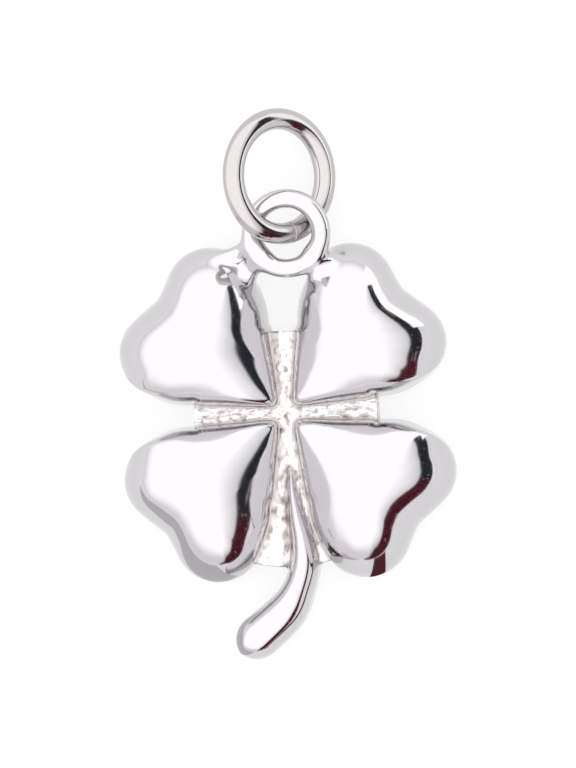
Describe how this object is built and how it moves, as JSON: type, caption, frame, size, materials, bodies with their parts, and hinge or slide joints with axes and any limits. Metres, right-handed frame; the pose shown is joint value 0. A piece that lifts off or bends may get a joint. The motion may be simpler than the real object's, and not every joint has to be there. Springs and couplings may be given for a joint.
{
  "type": "clover pendant",
  "caption": "Puffed four-leaf clover pendant in polished silver with a curved stem, a fixed loop and a round-wire jump ring.",
  "frame": {"origin": "centre of the clover, where the leaves' tips meet, on the flat back", "axes": "+Z out of the domed face, +Y from the clover's centre toward the jump ring, +X to the right when the face is looked at"},
  "size_m": [0.0122, 0.0202, 0.0036],
  "materials": {
    "polished_silver": "mirror-polished rhodium-white silver, cast texture left in the recesses between the leaves",
    "ring_silver": "bright drawn round wire"
  },
  "bodies": {
    "root": {"clover_casting": "polished_silver", "jump_ring": "ring_silver"}
  },
  "joints": []
}
